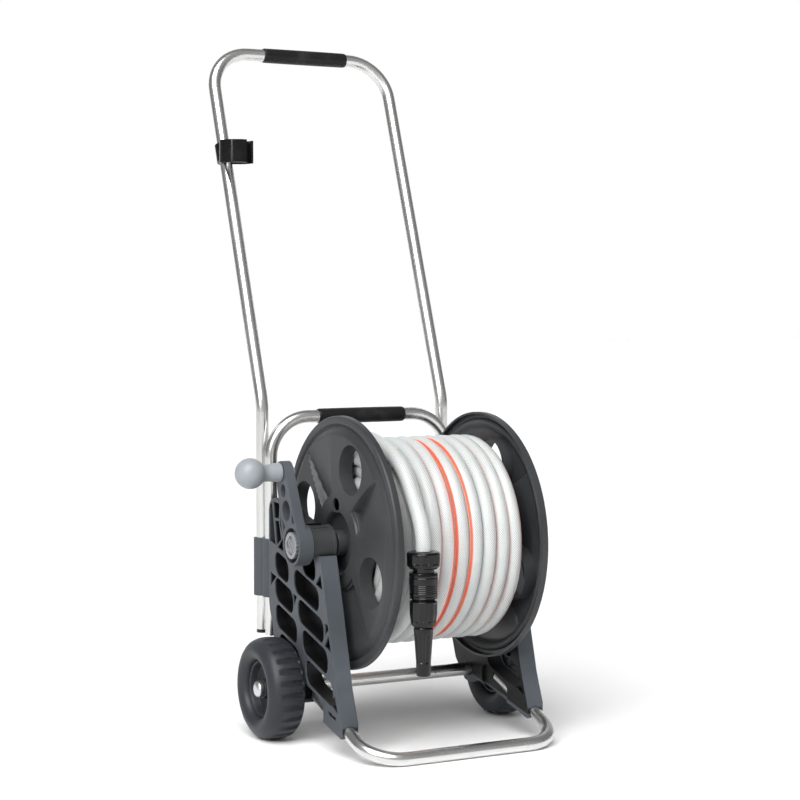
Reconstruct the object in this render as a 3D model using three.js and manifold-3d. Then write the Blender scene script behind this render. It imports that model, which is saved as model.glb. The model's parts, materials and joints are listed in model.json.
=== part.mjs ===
// Garden hose reel cart, built from separate parts. Millimetres, +Z up.
// X runs along the reel's axle (the crank is on the -X side), +Y points to the rear hoop,
// -Y to the foot. Heights below are given from the ground.
import * as THREE from 'three';
import { ConvexGeometry } from 'three/addons/geometries/ConvexGeometry.js';
import { mergeVertices } from 'three/addons/utils/BufferGeometryUtils.js';
import Module from 'manifold-3d';

const wasm = await Module();
wasm.setup();

// ---------- driving dimensions ----------
const GAP = 0.3;                 // clearance between touching pieces
const AXIS_Z = 223.5;            // reel axle above the ground

const TUBE_R = 7.5;              // 15 mm aluminium tube
const TUBE_BORE_R = 6.2;
const TUBE_FIT_R = 7.95;         // hole that a tube passes through

const FLANGE_R = 140;
const FLANGE_FACE = 95.5;        // outer face of the flange's raised windows, from the middle
const RIM_FACE = 92.5;
const RIM_BACK = 84.5;
const RIB_BACK = 79.5;
const SKIN = 3;
const HUB_FLOOR = 87.5;
const WINDOW_R = 27.5;
const WINDOW_PCD_R = 89.5;
const WINDOW_ANGLE = 22.5;       // first window, degrees from +Y towards +Z
const QUARTERS = [0, 90, 180, 270];
// Valley corners: radii, and angles from the window before it
const VALLEY = {                 // radii in mm, walls and crests in degrees past the window
  inner: 51, outer: 124, wallInner: 21.5, wallOuter: 29, crestInner: 56, crestOuter: 60, depth: 12,
};

const DRUM_R = 55;
const DRUM_WALL = 3.5;
const DRUM_HALF = 77.5;
const TAIL_X = -60;              // where the feed pipe comes through the drum

const SHAFT_R = 8.5;
const SHAFT_BORE_R = 5;
const SHAFT_END = 141;
const SHOULDER_R = 14;
const SHOULDER_END = 99;

const FRAME_IN = 106;            // side frame plate, 20 mm thick
const FRAME_OUT = 126;
const POCKET_DEPTH = 14;
const INNER_DEPTH = 3.2;         // the same pockets from the reel's side, a web left between
const BLOCK_IN = 105;
const BLOCK_OUT = 132;           // on the crank side; the inlet side ends flush with the frame
const BLOCK_R = 21.5;
const BLOCK_SEAT = -11;          // split between frame and bearing block, from the axle
const BLOCK_BORE_R = 9;
const BLOCK_BEAD = 2.5;
const BLOCK_REAR = 16.7;         // stops short of the frame's shoulder behind it
const BLOCK_GROOVES = [-8, -3, 2, 7, 12];
const BLOCK_GROOVE_DEPTH = 2;

const RIB_SLOPE = 0.27;          // the frame's ribs fall towards the foot
const RIB_TOP = -41;             // height of the first rib below the axle
const RIB_PITCH = 29.6;
const RIB_WIDTH = 2.4;
const CELL_CORNER_R = 11;
const AXLE_BOSS_R = 14;

const WHEEL_Y = 59;
const WHEEL_R = 57;
const WHEEL_OUT = 171;
const WHEEL_IN = 128.5;
const WHEEL_DISC_R = 31.5;
const AXLE_HALF = 164;

const HOOP_X = 115.5;
const HOOP_Y = 131.5;
const HOOP_TOP = 132.4;
const HOOP_END = -120;
const HOOP_BEND_R = 47;

const HANDLE_X = 118.6;
const HANDLE_Y = 149;
const HANDLE_END = -115;
const HANDLE_KINK = 147;
const HANDLE_TOP_Y = 305;
const HANDLE_TOP = 570;
const HANDLE_BEND_R = 50;
const HANDLE_KINK_R = 60;

const GRIP_R = 9;
const GRIP_HALF = 56;
const PUSH_GRIP_SHIFT = 8;

const COLLAR_TOP = -8;
const COLLAR_BOTTOM = -75;
const COLLAR_R = 10.5;

const FOOT_X = 116;
const FOOT_Y = -129;
const FOOT_END_Y = 5;
const FOOT_SLOPE_DEG = 20;
const FOOT_BEND_R = 40;
const FOOT_CHANNEL_FRONT = -100; // the blind hole in the side frame that the tube is pushed into
const FOOT_CHANNEL_REAR = 8;

const HUB_R = 22.5;
const HUB_IN = 133;
const ARM_IN = 139;
const ARM_OUT = 150;
const CAP_WELL_R = 19.3;         // sunk ring round the screw cap
const CAP_WELL_FLOOR = 142;
const PIN_HOLE_R = 4.3;
const KNOB_Y = 29;
const KNOB_Z = 78;
const BALL_R = 17;
const BALL_X = 186;

const HOSE_R = 8.25;             // half-inch garden hose
const COIL_R = 115;
const FREE_R = 125;              // centreline of the last, loose turn
const FREE_X = -60;
const FREE_START_DEG = 200;      // measured from the front, over the top
const FREE_LEAVE_DEG = 36;
const FREE_STRAIGHT = 38;
const FREE_BEND_R = 66;

const rad = THREE.MathUtils.degToRad;
const GROUND = -AXIS_Z;
const WHEEL_Z = GROUND + WHEEL_R;
const FOOT_Z = GROUND + TUBE_R;

// ---------- materials ----------
const material = (color, roughness, metalness) =>
  new THREE.MeshStandardMaterial({ color, roughness, metalness });
const aluminium = material(0xd9d9d6, 0.3, 0.9);
const framePlastic = material(0x5b6068, 0.55, 0);
const reelPlastic = material(0x3c3f44, 0.45, 0);
const tyrePlastic = material(0x3f444a, 0.6, 0);
const knobPlastic = material(0x8f959b, 0.4, 0);
const capPlastic = material(0xc9ccd2, 0.35, 0.4);
const blackGloss = material(0x101113, 0.22, 0);
const gripRubber = material(0x17181a, 0.6, 0);
const hoseVinyl = material(0xd5d6d4, 0.4, 0);
const steel = material(0xb4b6b8, 0.35, 1);
const sealRubber = material(0x1b1b1b, 0.8, 0);

// ---------- geometry helpers ----------
function signedVolume(position, index) {
  let sum = 0;
  const [a, b, c] = [new THREE.Vector3(), new THREE.Vector3(), new THREE.Vector3()];
  for (let i = 0; i < index.count; i += 3) {
    a.fromBufferAttribute(position, index.getX(i));
    b.fromBufferAttribute(position, index.getX(i + 1));
    c.fromBufferAttribute(position, index.getX(i + 2));
    sum += a.dot(b.cross(c)) / 6;
  }
  return sum;
}

// A closed geometry as a solid, its faces turned outwards.
function solid(source) {
  const bare = source.clone();
  bare.deleteAttribute('normal');
  bare.deleteAttribute('uv');
  const merged = mergeVertices(bare, 1e-4);
  const index = Array.from(merged.index.array);
  if (signedVolume(merged.attributes.position, merged.index) < 0) index.reverse();
  const vertProperties = new Float32Array(merged.attributes.position.array);
  const mesh = new wasm.Mesh({ numProp: 3, vertProperties, triVerts: new Uint32Array(index) });
  return new wasm.Manifold(mesh);
}

function geometryOf(body) {
  const { vertProperties, triVerts } = body.getMesh();
  const geometry = new THREE.BufferGeometry();
  geometry.setAttribute('position', new THREE.Float32BufferAttribute(vertProperties, 3));
  geometry.setIndex(Array.from(triVerts));
  return geometry;
}

const join = (...bodies) => bodies.reduce((all, body) => all.add(body));
const cut = (body, ...tools) => tools.reduce((rest, tool) => rest.subtract(tool), body);

// Shape coordinates (y, z) extruded from x0 to x1.
function plateX(points, x0, x1) {
  const shape = new THREE.Shape(points.map(([y, z]) => new THREE.Vector2(y, z)));
  const geometry = new THREE.ExtrudeGeometry(shape, { depth: x1 - x0, bevelEnabled: false });
  const toX = new THREE.Matrix4().makeBasis(
    new THREE.Vector3(0, 1, 0), new THREE.Vector3(0, 0, 1), new THREE.Vector3(1, 0, 0));
  return solid(geometry.applyMatrix4(toX).translate(x0, 0, 0));
}

// Profile points (x, r) revolved about the X axis through (y, z).
function turnX(profile, y = 0, z = 0, sides = 24) {
  const closed = profile.every(([, r]) => r > 0) ? [...profile, profile[0]] : profile;
  const points = closed.map(([x, r]) => new THREE.Vector2(r, x));
  const geometry = new THREE.LatheGeometry(points, sides);
  return solid(geometry.rotateZ(-Math.PI / 2).translate(0, y, z));
}

// Profile points (z, r) revolved about a vertical axis through (x, y).
function turnZ(profile, x = 0, y = 0, sides = 18) {
  const closed = profile.every(([, r]) => r > 0) ? [...profile, profile[0]] : profile;
  const points = closed.map(([z, r]) => new THREE.Vector2(r, z));
  const geometry = new THREE.LatheGeometry(points, sides);
  return solid(geometry.rotateX(Math.PI / 2).translate(x, y, 0));
}

const rodX = (r, x0, x1, y = 0, z = 0, sides = 18) =>
  turnX([[x0, 0], [x0, r], [x1, r], [x1, 0]], y, z, sides);
const rodZ = (r, z0, z1, x = 0, y = 0, sides = 18) =>
  turnZ([[z0, 0], [z0, r], [z1, r], [z1, 0]], x, y, sides);

function box(x0, x1, y0, y1, z0, z1) {
  const geometry = new THREE.BoxGeometry(x1 - x0, y1 - y0, z1 - z0);
  return solid(geometry.translate((x0 + x1) / 2, (y0 + y1) / 2, (z0 + z1) / 2));
}

const hull = (points) => solid(new ConvexGeometry(points.map((p) => new THREE.Vector3(...p))));

// Corners lie half a step off the axes, the same number in each quarter.
const circle = (r, sides, y = 0, z = 0) =>
  Array.from({ length: sides }, (_, i) => {
    const a = (2 * Math.PI * (i + 0.5)) / sides;
    return [y + r * Math.cos(a), z + r * Math.sin(a)];
  });

// A polyline whose corners are rounded: one step along each straight, several round each bend.
class BentRoute extends THREE.Curve {
  constructor(corners, radii, stepDeg = 22.5) {
    super();
    this.points = [];
    this.tangents = [];
    const at = corners.map((c) => new THREE.Vector3(...c));
    const heading = (i) => at[i + 1].clone().sub(at[i]).normalize();
    this.push(at[0], heading(0));
    for (let i = 1; i < at.length - 1; i++) {
      this.bend(at[i], heading(i - 1), heading(i), radii[i - 1], rad(stepDeg));
    }
    this.push(at[at.length - 1], heading(at.length - 2));
  }

  push(point, tangent) {
    this.points.push(point);
    this.tangents.push(tangent);
  }

  bend(corner, before, after, radius, step) {
    const angle = before.angleTo(after);
    const start = corner.clone().addScaledVector(before, -radius * Math.tan(angle / 2));
    const inward = after.clone().addScaledVector(before, -Math.cos(angle)).normalize();
    const count = Math.max(2, Math.ceil(angle / step));
    for (let k = 0; k <= count; k++) {
      const a = (angle * k) / count;
      const point = start.clone().addScaledVector(before, radius * Math.sin(a));
      point.addScaledVector(inward, radius * (1 - Math.cos(a)));
      const tangent = before.clone().multiplyScalar(Math.cos(a)).addScaledVector(inward, Math.sin(a));
      this.push(point, tangent);
    }
  }

  get steps() {
    return this.points.length - 1;
  }

  getPointAt(u) {
    return this.points[Math.round(u * this.steps)].clone();
  }

  getTangentAt(u) {
    return this.tangents[Math.round(u * this.steps)].clone();
  }
}

function sweep(route, r, bore, sides) {
  const ring = (radius, n) => circle(radius, n).map(([a, b]) => new THREE.Vector2(a, b));
  const shape = new THREE.Shape(ring(r, sides));
  if (bore > 0) shape.holes.push(new THREE.Path(ring(bore, 6).reverse()));
  const options = { steps: route.steps, extrudePath: route, curveSegments: 1 };
  return solid(new THREE.ExtrudeGeometry(shape, options));
}

const tube = (corners, radii) => sweep(new BentRoute(corners, radii), TUBE_R, TUBE_BORE_R, 12);

// ---------- assembly helpers ----------
const cart = new THREE.Group();
const rig = new THREE.Group();
rig.position.z = AXIS_Z;         // inside the rig, heights are measured from the axle
cart.add(rig);

function place(name, body, look, mirrored = false) {
  const mesh = new THREE.Mesh(geometryOf(body), look);
  mesh.name = name;
  if (mirrored) mesh.scale.x = -1;
  rig.add(mesh);
  return mesh;
}

// A right-hand piece and its mirror image on the left.
function placePair(name, body, look) {
  place(`${name}_right`, body, look);
  place(`${name}_left`, body, look, true);
}

// ---------- side frames ----------
const FRAME_OUTLINE = [
  [114.5, 28], [112.5, 35.5], [106.5, 40.5], [98, 42.5], [89.5, 41], [83, 37], [60, 28.5],
  [38, 23], [17, 21], [17, BLOCK_SEAT], [-22, BLOCK_SEAT], [-38.4, -67], [-60.8, -150],
  [-66.5, -165], [-75, -185.5], [-74, -201.3], [8.9, -182.5], [38, -176],
  [45, -180], [56, -182.5], [68, -180], [76, -172], [90, -158], [99, -135], [102, -115],
  [106, -98.5], [112, -88], [114.5, -76],
];

// Rounded pockets between two falling ribs: row below the first rib, rear end, front end.
const LEAF_POCKETS = [[0, 24, -10], [1, 98, 60], [1, 46, -19], [2, 98, 48], [2, 36, -31],
  [3, 96, 38], [3, 25, -41], [4, 86, 32], [4, 16, -54], [5, 28, -30]];
// Small pockets left by the crossing ribs, as (y, z) corners.
const CORNER_POCKETS = [
  [[-10.5, -43], [-23, -30], [-27.5, -47.5]], [[-33, -107.5], [-43, -94], [-49, -112]],
  [[-46, -168], [-58, -157], [-66, -176]], [[110, -43], [94, -47], [110, -59]],
  [[49, -60], [38.5, -62.5], [46, -75]], [[-34, -82], [-41, -83.5], [-42.5, -88.5], [-34, -95]],
  [[90, -13], [77, -2], [66, -1.5], [62, -6], [74, -16.5]], [[72, -18.5], [60, -9], [57, -22]],
  [[112, 33], [105.5, 37], [96, -11], [112, -7.5]], [[102, 38.5], [85, 37], [87, 20], [99, 20]],
  [[97.5, 17], [87, 17], [80, -3], [93, -11]], [[82, 31], [69, 6], [67, 2], [76, 2], [84, 12]],
];

const footZAt = (y) => FOOT_Z + (y - FOOT_Y) * Math.tan(rad(FOOT_SLOPE_DEG));

const intoFrame = (points, depth = POCKET_DEPTH) => plateX(points, FRAME_OUT - depth, FRAME_OUT + 1);
const throughBut = (points) => [intoFrame(points), plateX(points, FRAME_IN - 1, FRAME_IN + INNER_DEPTH)];

// A slanted cell between two ribs, its corners well rounded.
function leafPocket([row, rear, front]) {
  const top = RIB_TOP - RIB_PITCH * (row - 1) - RIB_WIDTH / 2;
  const bottom = top - RIB_PITCH + RIB_WIDTH;
  const points = circle(CELL_CORNER_R, 16).map(([dy, dz], i) => {
    const [rearSide, topSide] = [i < 4 || i >= 12, i < 8];
    const y = (rearSide ? rear - CELL_CORNER_R : front + CELL_CORNER_R) + dy;
    return [y, (topSide ? top - CELL_CORNER_R : bottom + CELL_CORNER_R) + dz + RIB_SLOPE * y];
  });
  return row === 4 && front < 0 ? [intoFrame(points, 2 * POCKET_DEPTH)] : throughBut(points);
}

function sideFrame() {
  const plate = plateX(FRAME_OUTLINE, FRAME_IN, FRAME_OUT);
  const pockets = [...LEAF_POCKETS.flatMap(leafPocket), ...CORNER_POCKETS.flatMap(throughBut)];
  const slot = intoFrame([[-61, -180], [-41, -176], [-43, -180.5], [-60, -184]], 8);
  const footRun = [FOOT_CHANNEL_FRONT, FOOT_CHANNEL_REAR].map((y) => [FOOT_X, y, footZAt(y)]);
  const channel = sweep(new BentRoute(footRun, []), TUBE_FIT_R, 0, 12);
  const axleBoss = rodX(AXLE_BOSS_R, FRAME_IN, FRAME_OUT, WHEEL_Y, WHEEL_Z, 20);
  const axleHole = rodX(TUBE_FIT_R, FRAME_IN - 1, FRAME_OUT + 1, WHEEL_Y, WHEEL_Z, 16);
  return cut(join(cut(plate, ...pockets), axleBoss), slot, channel, axleHole);
}

// Half-round cap over the reel's shaft, with a bead at each end and grooves across its top.
function bearingBlock(end) {
  const ring = (r, x0, x1) => rodX(r, x0, x1, 0, 0, 28);
  const barrel = join(ring(BLOCK_R - 1, BLOCK_IN, end), ring(BLOCK_R, BLOCK_IN, BLOCK_IN + BLOCK_BEAD),
    ring(BLOCK_R, end - BLOCK_BEAD, end));
  const above = box(BLOCK_IN - 1, end + 1, -BLOCK_R - 1, BLOCK_REAR, BLOCK_SEAT + GAP, BLOCK_R + 1);
  const groove = (y) => {
    const floor = Math.sqrt((BLOCK_R - 1) ** 2 - y * y) - BLOCK_GROOVE_DEPTH;
    return box(BLOCK_IN + BLOCK_BEAD + 1, end - BLOCK_BEAD - 1, y - 1, y + 1, floor, BLOCK_R + 1);
  };
  return cut(barrel.intersect(above), ring(BLOCK_BORE_R, BLOCK_IN - 1, end + 1),
    ...BLOCK_GROOVES.map(groove));
}

// Holds a fixed hoop leg against the frame and guides a handle leg behind it.
function guideCollar() {
  const sleeves = join(
    rodZ(COLLAR_R, COLLAR_BOTTOM, COLLAR_TOP, HOOP_X, HOOP_Y),
    rodZ(COLLAR_R, COLLAR_BOTTOM, COLLAR_TOP, HANDLE_X, HANDLE_Y),
    box(109.5, 122.5, 114.5 + GAP, HANDLE_Y, COLLAR_BOTTOM, COLLAR_TOP));
  return cut(sleeves,
    rodZ(TUBE_FIT_R, COLLAR_BOTTOM - 1, COLLAR_TOP + 1, HOOP_X, HOOP_Y),
    rodZ(TUBE_FIT_R + 0.15, COLLAR_BOTTOM - 1, COLLAR_TOP + 1, HANDLE_X, HANDLE_Y));
}

// ---------- tube work ----------
function rearHoop() {
  const [x, y, top] = [HOOP_X, HOOP_Y, HOOP_TOP];
  return tube([[-x, y, HOOP_END], [-x, y, top], [x, y, top], [x, y, HOOP_END]],
    [HOOP_BEND_R, HOOP_BEND_R]);
}

function pushHandle() {
  const leg = (x) => [[x, HANDLE_Y, HANDLE_END], [x, HANDLE_Y, HANDLE_KINK], [x, HANDLE_TOP_Y, HANDLE_TOP]];
  return tube([...leg(-HANDLE_X), ...leg(HANDLE_X).reverse()],
    [HANDLE_KINK_R, HANDLE_BEND_R, HANDLE_BEND_R, HANDLE_KINK_R]);
}

function footTube() {
  const inner = footZAt(FOOT_END_Y);
  return tube([[-FOOT_X, FOOT_END_Y, inner], [-FOOT_X, FOOT_Y, FOOT_Z], [FOOT_X, FOOT_Y, FOOT_Z],
    [FOOT_X, FOOT_END_Y, inner]], [FOOT_BEND_R, FOOT_BEND_R]);
}

function axleTube() {
  const [r, bore, x] = [TUBE_R, TUBE_BORE_R, AXLE_HALF];
  return turnX([[-x, bore], [-x, r], [x, r], [x, bore]], WHEEL_Y, WHEEL_Z, 20);
}

const grip = (middle, y, z) => {
  const [x0, x1] = [middle - GRIP_HALF, middle + GRIP_HALF];
  const bore = TUBE_R + GAP;
  return turnX([[x0, bore], [x0, GRIP_R], [x1, GRIP_R], [x1, bore]], y, z, 20);
};

function legPlug() {
  const foot = HANDLE_END - 4;
  return turnZ([[foot, 0], [foot, TUBE_R], [HANDLE_END - GAP, TUBE_R], [HANDLE_END - GAP, 5],
    [HANDLE_END + 12, 5], [HANDLE_END + 12, 0]], HANDLE_X, HANDLE_Y, 16);
}

// ---------- nozzle holder on the left leg of the push handle ----------
const CLIP = { z: 444, ringR: 20.5, ringBore: 17.6, half: 13.5, forward: 29, inward: 3 };

function nozzleClip() {
  const lean = Math.atan2(HANDLE_TOP_Y - HANDLE_Y, HANDLE_TOP - HANDLE_KINK);
  const y = HANDLE_Y + (CLIP.z - HANDLE_KINK) * Math.tan(lean);
  const [x, ringX, ringY] = [-HANDLE_X, -HANDLE_X + CLIP.inward, y - CLIP.forward];
  const tilted = (r, half, sides) => {
    const geometry = new THREE.CylinderGeometry(r, r, 2 * half, sides);
    return solid(geometry.rotateX(Math.PI / 2 - lean).translate(x, y, CLIP.z));
  };
  const [low, high] = [CLIP.z - CLIP.half, CLIP.z + CLIP.half];
  const holder = join(
    tilted(TUBE_R + 3.2, 11, 20),
    rodZ(CLIP.ringR, low, high, ringX, ringY, 28),
    box(x - 5, x + 8, y - 14, y - 6, CLIP.z - 9, CLIP.z + 9));
  const mouth = box(ringX - 9, ringX + 9, ringY - 30, ringY, low - 1, high + 1);
  return cut(holder, rodZ(CLIP.ringBore, low - 1, high + 1, ringX, ringY, 28),
    tilted(TUBE_R + GAP, 40, 16), mouth.translate([14, -4, 0]));
}

// ---------- wheels ----------
function wheelTyre() {
  return turnX([[WHEEL_IN, 42], [WHEEL_IN + 0.5, 50], [WHEEL_IN + 5, 55.2], [WHEEL_IN + 14, WHEEL_R],
    [WHEEL_OUT - 15, WHEEL_R], [WHEEL_OUT - 6, 54], [WHEEL_OUT - 1, 47], [WHEEL_OUT, 41],
    [WHEEL_OUT - 3, 34.5], [WHEEL_OUT - 8, WHEEL_DISC_R], [WHEEL_IN + 7, WHEEL_DISC_R],
    [WHEEL_IN + 2, 36]], WHEEL_Y, WHEEL_Z, 28);
}

function wheelDisc() {
  const edge = WHEEL_DISC_R - GAP;
  return turnX([[130.2, 8], [130.2, 11.5], [146, 12.5], [146, 28], [136, 28], [136, edge],
    [162, edge], [162, 28.5], [152, 27], [151, 12.5], [160, 10.5], [160, 8]], WHEEL_Y, WHEEL_Z, 20);
}

const wheelWasher = () =>
  turnX([[126.5, 8], [126.5, 13], [129.9, 13], [129.9, 8]], WHEEL_Y, WHEEL_Z, 20);

const axleCap = () =>
  turnX([[168.2, 0], [167.6, 6.5], [165.5, 9.3], [160.4, 9.3], [160.4, 7.8], [AXLE_HALF + GAP, 7.8],
    [AXLE_HALF + GAP, 0]], WHEEL_Y, WHEEL_Z, 20);

// ---------- reel ----------
// Outer skin of a flange with its rim and hub well, as (x, r).
const FLANGE_PROFILE = [
  [HUB_FLOOR, SHAFT_BORE_R], [HUB_FLOOR, 32], [FLANGE_FACE, 34], [FLANGE_FACE, 121],
  [RIM_FACE - 3, 129.5], [RIM_FACE, 130.5], [RIM_FACE, FLANGE_R], [RIM_BACK, FLANGE_R],
  [RIM_BACK, 137.4], [RIM_FACE - 6, 137.4], [RIM_FACE - 6, 127.5],
  [FLANGE_FACE - SKIN, 119], [FLANGE_FACE - SKIN, 37], [HUB_FLOOR - SKIN, 35],
  [HUB_FLOOR - SKIN, SHAFT_BORE_R],
];

const SHAFT_PROFILE = [[SHAFT_END, SHAFT_BORE_R], [SHAFT_END, SHAFT_R], [SHOULDER_END, SHAFT_R],
  [SHOULDER_END, SHOULDER_R], [HUB_FLOOR - 1, SHOULDER_R], [HUB_FLOOR - 1, SHAFT_BORE_R]];

const polar = (x, r, deg) => [x, r * Math.cos(rad(deg)), r * Math.sin(rad(deg))];
const turnedX = (body, deg) => body.rotate([deg, 0, 0]);

// Valley between two windows: a steep wall on one side, a facet that rises to the other.
// The shell below it is the same shape, larger by the skin all round.
function valley(skin = 0) {
  const spread = skin * 0.9;
  const lid = skin ? FLANGE_FACE - 0.5 : FLANGE_FACE + 1;
  const edge = FLANGE_FACE - (skin ? skin + 0.5 : 0.05);
  const [r0, r1] = [VALLEY.inner - skin, VALLEY.outer + skin * 0.3];
  const wall = [[r0, VALLEY.wallInner - spread], [r1, VALLEY.wallOuter - spread]];
  const crest = [[r0, VALLEY.crestInner + spread], [r1 - 4, VALLEY.crestOuter + spread]];
  const sunk = [[FLANGE_FACE - VALLEY.depth - skin, ...wall[0]], [FLANGE_FACE - 2 - skin, ...wall[1]],
    [edge, ...crest[0]], [edge, ...crest[1]]];
  const flat = [...wall, ...crest].map(([r, deg]) => [lid, r, deg]);
  return hull([...flat, ...sunk].map(([x, r, deg]) => polar(x, r, WINDOW_ANGLE + deg)));
}

function reelFlange() {
  const ring = (r0, r1, x0, sides) =>
    turnX([[x0, r0], [x0, r1], [FLANGE_FACE - 2, r1], [FLANGE_FACE - 2, r0]], 0, 0, sides);
  const body = join(turnX(FLANGE_PROFILE, 0, 0, 36), turnX(SHAFT_PROFILE, 0, 0, 16),
    ring(DRUM_R - DRUM_WALL, DRUM_R, DRUM_HALF + GAP, 24));
  const [, y, z] = polar(0, WINDOW_PCD_R, WINDOW_ANGLE);
  const windowWall = rodX(WINDOW_R + SKIN, RIB_BACK, FLANGE_FACE - 1, y, z, 16);
  const windowHole = rodX(WINDOW_R, RIB_BACK - 1, FLANGE_FACE + 1, y, z, 16);
  const filled = join(body, ...QUARTERS.flatMap((q) => [turnedX(windowWall, q), turnedX(valley(SKIN), q)]));
  const hubHole = rodX(8, RIB_BACK, 100, 1, 41.5, 12);
  return cut(filled, hubHole, ...QUARTERS.flatMap((q) => [turnedX(windowHole, q), turnedX(valley(), q)]));
}

function reelDrum() {
  const [r, bore, x] = [DRUM_R, DRUM_R - DRUM_WALL, DRUM_HALF];
  const shell = turnX([[-x, bore], [-x, r], [x, r], [x, bore]], 0, 0, 24);
  return cut(shell, rodZ(8.6, 40, 60, TAIL_X, 0, 16));
}

// Feed pipe inside the drum, from the hollow shaft out to the start of the hose.
function hoseTail() {
  const [x, end] = [TAIL_X, DRUM_R - 1];
  const route = new BentRoute([[HUB_FLOOR - SKIN - GAP, 0, 0], [x, 0, 0], [x, 0, end]], [12]);
  const flange = rodX(11, DRUM_HALF, HUB_FLOOR - SKIN - GAP, 0, 0, 20);
  const bore = sweep(new BentRoute([[HUB_FLOOR + 4, 0, 0], [x, 0, 0], [x, 0, end + 5]], [12]), 4.5, 0, 10);
  return cut(join(sweep(route, 7.4, 0, 12), flange), bore);
}

// ---------- crank ----------
function crankArm() {
  const reach = Math.hypot(KNOB_Y, KNOB_Z);
  // A point given by its distance along the arm and to the side of it, as (y, z).
  const onArm = (s, n) => [(s * KNOB_Y - n * KNOB_Z) / reach, (s * KNOB_Z + n * KNOB_Y) / reach];
  const outline = [...circle(20.5, 20), ...circle(12.5, 14, KNOB_Y, KNOB_Z)];
  const arm = hull([ARM_IN, ARM_OUT].flatMap((x) => outline.map(([y, z]) => [-x, y, z])));
  const hub = rodX(HUB_R, -ARM_OUT, -HUB_IN, 0, 0, 28);
  const hollow = (points) => plateX(points, -ARM_OUT - 1, -ARM_IN - 2);
  const oval = (s, along, across) => hollow(circle(1, 18).map(([u, v]) => onArm(s + along * v, across * u)));
  const corner = (side) => hollow([[23, 9], [34, 13.5], [20, 15.5]].map(([s, n]) => onArm(s, side * n)));
  const shaftHole = rodX(SHAFT_R + GAP, -ARM_OUT - 1, -HUB_IN + 1);
  const capWell = rodX(CAP_WELL_R, -ARM_OUT - 1, -CAP_WELL_FLOOR, 0, 0, 28);
  const pinHole = rodX(PIN_HOLE_R, -ARM_OUT - 1, -ARM_IN + 1, KNOB_Y, KNOB_Z, 16);
  return cut(join(arm, hub), shaftHole, capWell, pinHole, oval(62, 7.5, 6.2), oval(39.4, 11.5, 9.9),
    corner(1), corner(-1));
}

// Knurled screw cap with a coin slot that holds the crank on the shaft.
function crankCap() {
  const teeth = 20;
  const rim = circle(1, teeth * 2).map(([y, z], i) => [y * (i % 2 ? 14.9 : 14), z * (i % 2 ? 14.9 : 14)]);
  const head = plateX(rim, -151, -142.3);
  const dish = cut(rodX(10.5, -152, -149, 0, 0, 24), box(-153, -148, -2.6, 2.6, -12, 12));
  const slot = box(-152, -147.5, -0.9, 0.9, -9.5, 9.5);
  const stem = rodX(4.6, -143, -122, 0, 0, 16);
  return cut(join(head, stem), turnedX(dish, -42), turnedX(slot, -42));
}

function crankKnob() {
  const ball = Array.from({ length: 9 }, (_, i) => {
    const a = rad(36 + (144 * i) / 8);
    return [-BALL_X + BALL_R * Math.cos(a), Math.max(0, BALL_R * Math.sin(a))];
  });
  ball[8] = [-BALL_X - BALL_R, 0];
  const neck = [[-192, 0], [-192, 4.35], [-ARM_OUT - 0.5, 4.35], [-ARM_OUT - 0.5, 10.4], [-160, 9.6]];
  return turnX([...neck, ...ball], KNOB_Y, KNOB_Z, 18);
}

const knobPin = () =>
  turnX([[-191.5, 0], [-191.5, 4], [-ARM_IN + GAP, 4], [-ARM_IN + GAP, 7], [-135.5, 7], [-134.5, 5],
    [-134.5, 0]], KNOB_Y, KNOB_Z, 12);

// ---------- water inlet, on the side away from the crank ----------
function inletElbow() {
  const body = join(
    rodX(13, 127.5, 154, 0, 0, 24),
    rodZ(9.5, -30, 0, 147, 0),
    turnZ([[-32, 0], [-32, 12.5], [-28, 12.5], [-28, 0]], 147, 0),
    turnZ([[-56, 0], [-56, 7.2], [-47, 7.2], [-46, 5.9], [-43, 5.9], [-42, 8], [-31, 8], [-31, 0]], 147, 0));
  return cut(body, rodX(SHAFT_R + GAP, 127, SHAFT_END + 1), rodX(SHAFT_BORE_R, 140, 149),
    rodZ(4, -60, 1, 147, 0, 14));
}

const inletSeal = () =>
  turnZ([[-45.7, 6.2], [-45.7, 7.4], [-43.3, 7.4], [-43.3, 6.2]], 147, 0, 20);

// ---------- hose with its connector and nozzle ----------
const hoseCoil = () =>
  turnX([[-DRUM_HALF, DRUM_R + GAP], [-DRUM_HALF, COIL_R], [DRUM_HALF, COIL_R],
    [DRUM_HALF, DRUM_R + GAP]], 0, 0, 36);

// The loose turn follows the coil over the top, then leaves it and hangs straight down.
class FreeRoute extends BentRoute {
  constructor() {
    super([[FREE_X, 0, 1], [FREE_X, 0, 0]], []);
    this.points = [];
    this.tangents = [];
    const turns = 11;
    for (let k = 0; k <= turns; k++) {
      const a = rad(FREE_START_DEG + ((FREE_LEAVE_DEG - FREE_START_DEG) * k) / turns);
      this.push(new THREE.Vector3(FREE_X, -FREE_R * Math.cos(a), FREE_R * Math.sin(a)),
        new THREE.Vector3(0, -Math.sin(a), -Math.cos(a)));
    }
    const last = this.points[turns];
    const along = this.tangents[turns];
    const down = new THREE.Vector3(0, 0, -1);
    const angle = along.angleTo(down);
    const corner = last.clone().addScaledVector(along, FREE_STRAIGHT + FREE_BEND_R * Math.tan(angle / 2));
    this.bend(corner, along, down, FREE_BEND_R, rad(12));
  }
}

const freeRoute = new FreeRoute();
const hoseEnd = freeRoute.points[freeRoute.steps];
const NOZZLE_Y = hoseEnd.y;

// A revolved piece on the hanging end; heights run down from the end of the hose.
const hung = (profile, sides = 18) =>
  turnZ(profile.map(([drop, r]) => [hoseEnd.z - drop, r]), FREE_X, NOZZLE_Y, sides);

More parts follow.
